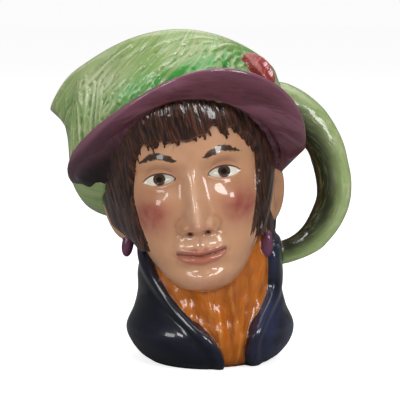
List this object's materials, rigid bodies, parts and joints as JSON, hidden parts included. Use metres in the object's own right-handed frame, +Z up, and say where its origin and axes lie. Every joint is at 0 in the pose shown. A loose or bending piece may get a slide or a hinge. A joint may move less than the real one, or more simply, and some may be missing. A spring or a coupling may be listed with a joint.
{
  "type": "character jug",
  "caption": "Glazed earthenware jug in the form of a head and shoulders, with a hat whose crown is the mouth and a plume as the handle.",
  "frame": {"origin": "middle of the flat foot", "axes": "+Z up, the face looks along -Y, the handle is on +X"},
  "size_m": [0.1459, 0.1143, 0.1617],
  "materials": {
    "glazed_earthenware": "gloss"
  },
  "bodies": {
    "root": {"jug": "glazed_earthenware"}
  },
  "joints": []
}
